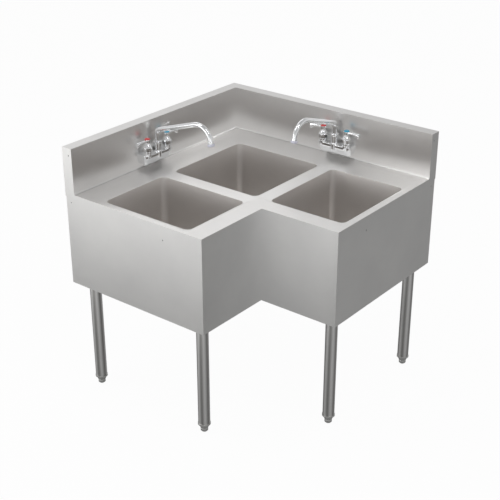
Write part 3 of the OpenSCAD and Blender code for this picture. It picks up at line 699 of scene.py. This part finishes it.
# %% Round, thicken and split the skin
SHEET = 1.5
GRAIN = {"deck": deck_steel_painted_light, "left_splash": splash_y, "right_splash": splash_x,
         "left_end_panel": steel_x, "right_end_panel": steel_y,
         "left_apron": steel_y, "right_apron": steel_x}


def finished_mesh(mesh, modifiers):
    holder = bpy.data.objects.new("holder", mesh)
    bpy.context.scene.collection.objects.link(holder)
    for kind, values in modifiers:
        modifier = holder.modifiers.new(kind.lower(), kind)
        for key, value in values.items():
            setattr(modifier, key, value)
    bpy.context.view_layer.update()
    graph = bpy.context.evaluated_depsgraph_get()
    made = bpy.data.meshes.new_from_object(holder.evaluated_get(graph), depsgraph=graph)
    bpy.data.objects.remove(holder)
    return made


skin_mesh.shade_smooth()
for name in PARTS:
    skin_mesh.materials.append(steel_x)
thick = finished_mesh(skin_mesh, [
    ("BEVEL", dict(width=3 * MM, segments=4, limit_method="WEIGHT", use_clamp_overlap=True)),
    ("SOLIDIFY", dict(thickness=SHEET * MM, offset=-1, use_even_offset=True, thickness_clamp=0)),
    ("WEIGHTED_NORMAL", dict(mode="FACE_AREA", weight=50, keep_sharp=True)),
])
normals = [n.vector.copy() for n in thick.corner_normals]
for index, name in enumerate(PARTS):
    polygons = [p for p in thick.polygons if p.material_index == index]
    used = sorted({v for p in polygons for v in p.vertices})
    new_index = {v: k for k, v in enumerate(used)}
    mesh = bpy.data.meshes.new(name + "_sheet")
    mesh.from_pydata([thick.vertices[v].co for v in used], [],
                     [[new_index[v] for v in p.vertices] for p in polygons])
    mesh.shade_smooth()
    mesh.normals_split_custom_set([normals[k] for p in polygons for k in p.loop_indices])
    piece(name + "_sheet", mesh, GRAIN[name], "sink", [name], sharp=0)
    print(name, "faces:", len(polygons))


# %% [markdown]
# ## Rings and lofts
# Bowls, legs, drains, nuts and spouts are all a row of rings joined by quads. One helper joins
# the rings, one makes round rings for turned pieces, and one softens the corners of a profile,
# because a lathe or a press leaves no knife edges.

# %% Ring helpers
def loft(rings, closed=False):
    bm = bmesh.new()
    made = [[bm.verts.new(p) for p in ring] for ring in rings]
    pairs = list(zip(made, made[1:])) + ([(made[-1], made[0])] if closed else [])
    for low, high in pairs:
        count = max(len(low), len(high))
        for i in range(count):
            j = (i + 1) % count
            corners = [low[i % len(low)], low[j % len(low)], high[j % len(high)], high[i % len(high)]]
            corners = [c for k, c in enumerate(corners) if c not in corners[:k]]
            if len(corners) > 2:
                bm.faces.new(corners)
    return bm


def circle(radius, height, steps=64):
    if radius < 1e-6:
        return [Vector((0, 0, height)) * MM]
    return [Vector((radius * cos(2 * pi * k / steps), radius * sin(2 * pi * k / steps), height)) * MM
            for k in range(steps)]


def softened(points, radius, closed=False, steps=4):
    """Replaces each corner of a profile by a small arc, as large as its neighbours allow."""
    made = []
    count = len(points)
    for k, here in enumerate(points):
        if not closed and k in (0, count - 1):
            made.append(here)
            continue
        p, a, b = Vector(here), Vector(points[k - 1]), Vector(points[(k + 1) % count])
        to_a, to_b = a - p, b - p
        opening = to_a.angle(to_b)
        reach = min(radius / tan(opening / 2), to_a.length * 0.45, to_b.length * 0.45)
        if opening > radians(170) or reach < 1e-4:
            made.append(here)
            continue
        start, end = p + to_a.normalized() * reach, p + to_b.normalized() * reach
        for s in range(steps + 1):
            f = s / steps
            made.append(tuple(start * (1 - f) ** 2 + p * 2 * f * (1 - f) + end * f * f))
    return made


def turned(name, profile, radius=0.4, closed=True):
    """A turned mesh from a profile of (radius, height)."""
    return mesh_from(loft([circle(r, z) for r, z in softened(profile, radius, closed)], closed), name)


print("softened square has", len(softened([(0, 0), (9, 0), (9, 9), (0, 9)], 1, True)), "points")


# %% [markdown]
# ## The bowls
# A bowl is deep drawn from one sheet: its walls, its rounded bottom edge and its corners flow
# into each other. It is a loft of rounded rectangles, from a tight lip at the deck down to the
# drain hole, and back up on the outside to the flange that is welded under the deck.

# %% Loft the bowls
BOWL_FLOOR, DRAIN_R, RIM_FLANGE = 492.3, 44, 9
STRAIGHT_FROM = 60  # above the round of the bottom edge


def bowl_rings(box):
    mid_u, mid_v = box[0] + box[2] / 2, box[1] + box[3] / 2

    def ring(grow, height):
        return [place(u, v, height) for u, v in rounded_loop(box, grow, BOWL_R + grow)]

    def hole(height):
        angles = [atan2(v - mid_v, u - mid_u) for u, v in rounded_loop(box, 0, BOWL_R)]
        return [place(mid_u + DRAIN_R * cos(a), mid_v + DRAIN_R * sin(a), height) for a in angles]

    quarter = [radians(a) for a in range(0, 91, 10)]
    inside = [(LIP - LIP * sin(a), DECK - LIP + LIP * cos(a)) for a in quarter[::3]]
    inside += [(0, BOWL_FLOOR + BOWL_R + STRAIGHT_FROM)]
    inside += [(-BOWL_R + BOWL_R * cos(a), BOWL_FLOOR + BOWL_R - BOWL_R * sin(a)) for a in quarter]
    out_r = BOWL_R + SHEET
    outside = [(-BOWL_R + out_r * cos(a), BOWL_FLOOR + BOWL_R - out_r * sin(a)) for a in quarter[::-1]]
    outside += [(SHEET, DECK - 2 * SHEET), (RIM_FLANGE, DECK - 2 * SHEET), (RIM_FLANGE, DECK - SHEET),
                (LIP, DECK - SHEET)]
    rings = [ring(g, z) for g, z in inside] + [hole(BOWL_FLOOR), hole(BOWL_FLOOR - SHEET)]
    return rings + [ring(g, z) for g, z in outside]


for side, box in BOWLS.items():
    mesh = mesh_from(loft(bowl_rings(box), closed=True), side + "_bowl_shell")
    piece(side + "_bowl_shell", mesh, bowl_steel, "sink", [side + "_bowl"])
    print(side, "bowl:", box[2], "x", box[3], "mm, faces:", len(mesh.polygons))


# %% [markdown]
# ## Legs and feet
# The legs are plain round tubes. Each has a collar and a taper at its lower end, and a round foot
# that screws in and out to level the sink. All of them are turned shapes.

# %% Turn the legs, the inserts and the feet
LEGS = {"left_front": (572.6, 877.4), "left_wall": (77, 877.4), "corner": (77, 77),
        "right_wall": (877.4, 77), "right_front": (877.4, 572.6)}
TUBE_R, TUBE_WALL, TUBE_FOOT, TUBE_TOP = 20.65, 1.5, 35, 478.4
leg_profile = [(TUBE_R - TUBE_WALL, TUBE_FOOT), (TUBE_R, TUBE_FOOT), (TUBE_R, TUBE_TOP),
               (TUBE_R - TUBE_WALL, TUBE_TOP)]
insert_profile = [(6.05, 15), (13.5, 15), (19.65, 29), (22.25, 29), (22.25, 35), (19, 35), (19, 63),
                  (6.05, 63)]
foot_profile = [(0, 0), (9, 0), (13, 4), (13, 14.7), (6, 14.7), (6, 89.7), (0, 89.7)]
leg_mesh = turned("leg_tube", leg_profile, 0.5)
inserts = bmesh.new()
for name, (u, v) in LEGS.items():
    stand = Matrix.Translation(place(u, v, 0))
    piece(name + "_leg_tube", leg_mesh.copy(), leg_steel_painted_reflections, "sink", [name + "_leg"], stand)
    foot = turned(name + "_foot_turned", foot_profile, 2.5, closed=False)
    piece(name + "_foot_turned", foot, foot_steel, name + "_foot",
          [name + "_foot"], stand)
    one = turned("insert", insert_profile, 0.6)
    one.transform(stand)
    inserts.from_mesh(one)
piece("foot_inserts_turned", mesh_from(inserts, "foot_inserts_turned"), foot_steel, "sink",
      ["foot_inserts"])
print("legs:", len(LEGS), "tube length:", TUBE_TOP - TUBE_FOOT, "mm")


# %% [markdown]
# ## Drains
# Each bowl has a flanged cup under a perforated strainer. The cup is turned, with a soft edge
# where it lies on the bowl, and a bar across it takes the strainer's screw.

# %% Turn the drain cups
def prism(bm, outline, to_point, low, high):
    """A straight prism: outline points (a, b) at two depths, each put in place by to_point."""
    ends = [[bm.verts.new(Vector(to_point(a, b, depth)) * MM) for a, b in outline]
            for depth in (low, high)]
    bm.faces.new(ends[0][::-1])
    bm.faces.new(ends[1])
    count = len(outline)
    for k in range(count):
        j = (k + 1) % count
        bm.faces.new([ends[0][k], ends[0][j], ends[1][j], ends[1][k]])


drain_profile = [(42, 1.6), (56, 1.6), (56, 0), (43.5, 0), (43.5, -38), (24, -38), (24, -74),
                 (21.5, -74), (21.5, -35), (39, -35), (39, -8), (42, -8)]
hub_profile = [(2.55, -16), (5, -16), (5, -8), (2.55, -8)]
cross_bar, BAR_HALF = [(-4, -16), (4, -16), (4, -12), (-4, -12)], 40.5
for side, (u, v, w, l) in BOWLS.items():
    cup = bmesh.new()
    cup.from_mesh(turned("cup", drain_profile, 1.2))
    cup.from_mesh(turned("hub", hub_profile))
    prism(cup, cross_bar, lambda y, z, x: (x, y, z), -BAR_HALF, BAR_HALF)
    stand = Matrix.Translation(place(u + w / 2, v + l / 2, BOWL_FLOOR))
    piece(side + "_drain_cup", mesh_from(cup, side + "_drain_cup"), drain_steel, "sink",
          [side + "_drain"], stand)
print("drain cups:", len(BOWLS), "flange:", 2 * max(r for r, z in drain_profile), "mm")


# %% [markdown]
# ## The tap bodies
# A tap body is cast, then polished and chromed, so its arms, columns and cross bar melt into each
# other with soft inner corners. The plain shapes are first joined into one skin by a voxel
# remesh, and a little smoothing then gives the cast radii.

# %% Shape the tap body
VALVE, OUT = 50.8, 38.0
END_X, END_Y = 55.0, -34.0


def shifted_circle(radius, x, y, z):
    return [p + Vector((x, y, z)) * MM for p in circle(radius, 0, 48)]


cast = bmesh.new()
bar_outline = [(-18, 0), (-50, 0), (-50, -11), (-36, -37), (-24, -37), (-18, -23)]
arm_outline = [(39, 0), (69, 0), (69, -11), (62, -36), (46, -36), (39, -11)]
end_rings = [(0, END_Y, 0), (16, END_Y, 0), (16, END_Y, -11), (15.2, -32.8, -14), (7, -26, -39.5),
             (4, -26, -40), (0, -26, -40)]
seat_rings = [(0, 6), (12.4, 6), (13, 5.4), (13, -6), (0, -6)]
prism(cast, bar_outline, lambda y, z, x: (x, y, z), -END_X, END_X)
for side in (-1, 1):
    prism(cast, [(side * x, z) for x, z in arm_outline], lambda x, z, y: (x, y, z), END_Y, 0.5)
    arm_end = [shifted_circle(r, side * END_X, y, z) for r, y, z in end_rings]
    valve_seat = [shifted_circle(r, side * VALVE, -OUT, z) for r, z in seat_rings]
    for rings in (arm_end, valve_seat):
        shape = loft(rings)
        bmesh.ops.recalc_face_normals(shape, faces=shape.faces)
        cast.from_mesh(plain_mesh(shape, "shape"))
column_profile = [(0, -20), (14.5, -20), (14.5, 3), (13.5, 4), (12, 4), (12, 25.4), (11.4, 26), (0, 26)]
column = turned("column", column_profile, 0.5, closed=False)
column.transform(shift(0, -OUT, 0))
cast.from_mesh(column)
bmesh.ops.recalc_face_normals(cast, faces=cast.faces)
cast_mesh = finished_mesh(plain_mesh(cast, "tap_cast"), [
    ("REMESH", dict(mode="VOXEL", voxel_size=1.1 * MM, use_smooth_shade=True)),
    ("SMOOTH", dict(factor=0.5, iterations=5)),
])
print("cast body faces:", len(cast_mesh.polygons))


# %% [markdown]
# The pipe shanks behind the body go through the splash. They are turned and stay sharp, so they
# join the body after the smoothing. Each tap stands against a splash's face.

# %% Add the shanks and place both bodies
TAP, TAP_ALONG = 806.0, 79.8
FACE = HALF_RUN - SPLASH
SHANK_Z = -19
shank_profile = [(5, -1), (10.05, -1), (10.05, 9.5), (10.45, 9.5), (10.45, 34), (5, 34)]
body = bmesh.new()
body.from_mesh(cast_mesh)
for side in (-1, 1):
    shank = turned("shank", shank_profile, 0.5)
    shank.transform(shift(side * VALVE, 0, SHANK_Z) @ Matrix.Rotation(-pi / 2, 4, "X"))
    body.from_mesh(shank)
body_mesh = plain_mesh(body, "tap_body_cast")
TAPS = {"right": shift(TAP_ALONG, FACE, TAP),
        "left": shift(-FACE, -TAP_ALONG, TAP) @ Matrix.Rotation(pi / 2, 4, "Z")}
for side, stand in TAPS.items():
    piece(side + "_tap_body_cast", body_mesh.copy(), chrome, "sink", [side + "_tap_body"],
          stand, sharp=50)
print("tap bodies:", list(TAPS))


# %% [markdown]
# ## Bonnets
# A bonnet covers each valve. Its skirt and dome are round, and a band round its middle has twelve
# flats for a spanner. The rings of the band follow a twelve-sided outline and the others a circle.

# %% Loft the bonnets
BONNET_STEPS = 96
skirt_profile = [(4.1, -6), (10, -6), (10, 6), (13.1, 6), (13.5, 6.4), (13.5, 12), (15.6, 14.6)]
band_profile = [(16.6, 15), (17.3, 15.7), (17.3, 28.3), (16.6, 29)]
dome_profile = [(15.9, 29.2), (13, 36), (9, 41), (7.5, 44), (7.5, 47), (4.1, 47)]


def twelve_sided(radius, height):
    ring = []
    for k in range(BONNET_STEPS):
        angle = 2 * pi * k / BONNET_STEPS
        reach = radius * cos(pi / 12) / cos(angle % (pi / 6) - pi / 12)
        ring.append(Vector((reach * cos(angle), reach * sin(angle), height)) * MM)
    return ring


skirt = [circle(r, z, BONNET_STEPS) for r, z in skirt_profile]
band = [twelve_sided(r, z) for r, z in band_profile]
dome = [circle(r, z, BONNET_STEPS) for r, z in softened(dome_profile, 2.5)]
bonnet_mesh = mesh_from(loft(skirt + band + dome, closed=True), "bonnet")
VALVES = {f"{side}_{kind}": (sign, stand @ shift(sign * VALVE, -OUT, 0))
          for side, stand in TAPS.items() for kind, sign in (("hot", -1), ("cold", 1))}
for name, (sign, spot) in VALVES.items():
    piece(name + "_bonnet_dome", bonnet_mesh.copy(), chrome, "sink", [name + "_bonnet"],
          spot, sharp=28)
print("bonnets:", list(VALVES), "faces of each:", len(bonnet_mesh.polygons))


# %% [markdown]
# ## Levers
# A lever has a hub on the valve's stem and an arm that widens into a blade, turned down at its
# end. The arm is a loft of eight-sided sections from the tail to the tip, each with its distance
# from the stem, its lower and upper height and half its width. A subdivision surface makes it
# flow. The cold lever is the hot one's mirror image, and a coloured button covers each hub.

# %% Loft the levers
stations = [(-14, 53, 57, 2.6), (-13.2, 52.4, 57.4, 3.3), (-7, 50.5, 57.8, 5), (0, 49.2, 58.2, 6.2),
            (10, 49.4, 58.3, 6), (22, 50, 58.6, 5.4), (32, 50.4, 59, 5.4), (40, 47.5, 59.3, 6.6),
            (46, 42, 59.6, 7.9), (50, 39.4, 59.8, 8.6), (53.5, 39, 59.9, 9), (55.4, 41, 60, 9),
            (55.9, 43, 59.6, 8.6)]
lever_hub_profile = [(4.1, 47.5), (10.5, 47.5), (10.5, 58.5), (0, 58.5), (0, 56), (4.1, 56)]
button_profile = [(0, 58.5), (10, 58.5), (10, 60.7), (8.5, 61.9), (0, 62.7)]


def lever_section(x, low, high, half_width):
    middle, half = (low + high) / 2, (high - low) / 2
    upper = [(1, 0.45), (0.55, 1), (-0.55, 1), (-1, 0.45)]
    around = upper + [(-a, -b) for a, b in upper]
    return [Vector((x, half_width * a, middle + half * b)) * MM for a, b in around]


def lever(sign):
    rings = [lever_section(*s) for s in stations]
    arm = loft([[Vector((-13.9, 0, 55)) * MM]] + rings + [[Vector((56, 0, 51)) * MM]])
    bmesh.ops.recalc_face_normals(arm, faces=arm.faces)
    flowing = [("SUBSURF", dict(levels=2, render_levels=2))]
    both = bmesh.new()
    both.from_mesh(finished_mesh(plain_mesh(arm, "arm"), flowing))
    both.from_mesh(turned("hub", lever_hub_profile, 0.6))
    for vert in both.verts:
        vert.co.x *= sign
    bmesh.ops.recalc_face_normals(both, faces=both.faces)
    return plain_mesh(both, "lever")


for name, (sign, spot) in VALVES.items():
    valve = name + "_valve"
    plastic, slot = (red_plastic, "red_plastic") if sign < 0 else (blue_plastic, "blue_plastic")
    piece(name + "_lever_blade", lever(sign), chrome, valve, [name + "_lever"], spot,
          sharp=40)
    cap = turned("button", button_profile, 0.9, closed=False)
    piece(name + "_button_cap", cap, plastic, valve, [name + "_button"], spot)
print("levers and buttons:", len(VALVES))


# %% [markdown]
# ## Painted shade behind the screw holes
# The holes in the end panels look black from outside. A small near-black plate behind each one
# does that: it is painted shade, put where the inside of a hole is only in shade. It is a square
# plate with rounded corners.

# %% Place the plates of painted shade
PLATE_WIDE, PLATE_THICK, PLATE_GAP, PLATE_CORNER = 12.0, 2.0, 0.3, 2.0


def hole_shade_plates(name, to_place):
    plates = bmesh.new()
    for t, z in HOLES:
        square = (t - PLATE_WIDE / 2, z - PLATE_WIDE / 2, PLATE_WIDE, PLATE_WIDE)
        depths = [SHEET + PLATE_GAP, SHEET + PLATE_GAP + PLATE_THICK]
        outline = rounded_loop(square, 0, PLATE_CORNER)
        rings = [[to_place(a, b, depth) for a, b in outline] for depth in depths]
        rings = [[to_place(t, z, depths[0])]] + rings + [[to_place(t, z, depths[1])]]
        plates.from_mesh(plain_mesh(loft(rings), "hole_shade_plate"))
    # Painted shade: the near-black plates make the screw holes look dark.
    piece(name, mesh_from(plates, name), hole_shade_black, "sink")


hole_shade_plates("left_hole_shade_plates", lambda t, z, depth: place(t, RUN - depth, z))
hole_shade_plates("right_hole_shade_plates", lambda t, z, depth: place(RUN - depth, t, z))
print("clip nuts:", 2 * len(HOLES))


# %% [markdown]
# ## The swinging spouts
# A spout is one bent tube: up out of the body, over a tight bend, along a rising straight, and
# round a wide bend to the tip. The path is worked out as a row of points with a heading at each,
# and a ring is set square to the heading, first for the outside and then back along the inside.

# %% Bend the spout
SLOPE, TIP_SLOPE, STRAIGHT, LAST = 18.0, -80, 172.0, 8
ROOT_R, BEND_R, ROOT_Z = 18.0, 57.0, 67.0
TUBE_OUTSIDE, TUBE_INSIDE, TUBE_STEPS = 9, 7.5, 40


def spout_path():
    """Points (out, up, heading in degrees above level) along the middle of the tube."""
    path = [(0, 12, 90), (0, 30, 90), (0, ROOT_Z, 90)]

    def bend(middle_out, middle_up, radius, start, end, steps):
        for k in range(1, steps + 1):
            heading = start + (end - start) * k / steps
            turn = radians(heading)
            path.append((middle_out - radius * sin(turn), middle_up + radius * cos(turn), heading))

    def straight(length):
        out, up, heading = path[-1]
        turn = radians(heading)
        path.append((out + length * cos(turn), up + length * sin(turn), heading))

    bend(ROOT_R, ROOT_Z, ROOT_R, 90, SLOPE, 12)
    straight(STRAIGHT)
    out, up, heading = path[-1]
    turn = radians(SLOPE)
    bend(out + BEND_R * sin(turn), up - BEND_R * cos(turn), BEND_R, SLOPE, TIP_SLOPE, 24)
    straight(LAST)
    return path


def tube_ring(out, up, heading, radius):
    turn = radians(heading)
    across = Vector((0, sin(turn), cos(turn)))
    sideways = Vector((1, 0, 0))
    middle = Vector((0, -OUT - out, up))
    angles = [2 * pi * k / TUBE_STEPS for k in range(TUBE_STEPS)]
    return [(middle + across * radius * cos(a) + sideways * radius * sin(a)) * MM for a in angles]


path = spout_path()
rings = [tube_ring(*p, TUBE_OUTSIDE) for p in path] + [tube_ring(*p, TUBE_INSIDE) for p in path[::-1]]
bead = turned("bead", [(8.2, 26.1), (11, 26.1), (11, 30.1), (8.2, 30.1)])
bead.transform(shift(0, -OUT, 0))
spout = bmesh.new()
spout.from_mesh(mesh_from(loft(rings, closed=True), "spout_tube"))
spout.from_mesh(bead)
spout_mesh = plain_mesh(spout, "spout_tube")
tip_out, tip_up, tip_heading = path[-1]
print("spout reaches", round(OUT + tip_out, 1), "mm from the splash, to", round(TAP + tip_up, 1), "high")


# %% [markdown]
# ## Spout nuts, aerators and collars
# The nut holds the spout's bead on its column. At the tip an aerator mixes air into the water,
# with a pale plastic collar round it. They are turned, and the last two are tipped to the tube's
# heading.

# %% Place the spouts with their fittings
nut_profile = [(12.05, 18), (13.8, 18), (13.8, 31), (15.4, 34), (15.4, 38), (14.4, 39.5),
               (9.35, 39.5), (9.35, 30.4), (11.35, 30.4), (11.35, 26), (12.05, 26)]
aerator_profile = [(9.05, -7), (10.5, -7), (11, -6), (11, 9.5), (10, 10.5), (6, 10.5), (6, 6.5),
                   (0, 6.5), (0, 5.5), (6, 5.5), (6, 0.2), (9.05, 0.2)]
collar_profile = [(11.05, 0.5), (11.4, 0.5), (12.5, 2.5), (12.5, 8), (11.5, 9.5), (11.05, 9.5)]
tip_turn = shift(0, -OUT - tip_out, tip_up) @ Matrix.Rotation(radians(90 - tip_heading), 4, "X")
for side, stand in TAPS.items():
    spout_body = side + "_spout"
    piece(side + "_spout_tube", spout_mesh.copy(), chrome, spout_body,
          [side + "_spout"], stand)
    nut = turned("nut", nut_profile, 0.5)
    piece(side + "_spout_nut_turned", nut, chrome, "sink", [side + "_spout_nut"],
          stand @ shift(0, -OUT, 0))
    aerator = turned("aerator", aerator_profile, 0.3)
    piece(side + "_aerator_turned", aerator, chrome, spout_body, [side + "_aerator"],
          stand @ tip_turn)
    collar = turned("collar", collar_profile)
    piece(side + "_aerator_collar_turned", collar, pale_plastic, spout_body,
          [side + "_aerator_collar"], stand @ tip_turn)
print("spouts with nut, aerator and collar:", len(TAPS))


# %% [markdown]
# ## Pieces that keep their construction shape
# Rails, sockets, screws, stems, nuts and gaskets are simple parts whose shapes are right as they
# are. They only get their finishes, through the material slots of their own objects.

# %% Finish the remaining parts
KEPT = {"left_rear_rail": plain_steel, "right_rear_rail": plain_steel, "leg_sockets": plain_steel,
        "socket_screws": foot_steel, "drain_strainers": drain_steel, "strainer_screws": drain_steel,
        "drain_gaskets": rubber, "drain_locknuts": plain_steel,
        "left_mounting_nuts": brass, "right_mounting_nuts": brass, "left_hot_stem": brass,
        "left_cold_stem": brass, "right_hot_stem": brass, "right_cold_stem": brass}
for name, material in KEPT.items():
    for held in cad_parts[name].material_slots:
        held.link = "OBJECT"
        held.material = material
print("kept parts:", len(KEPT))
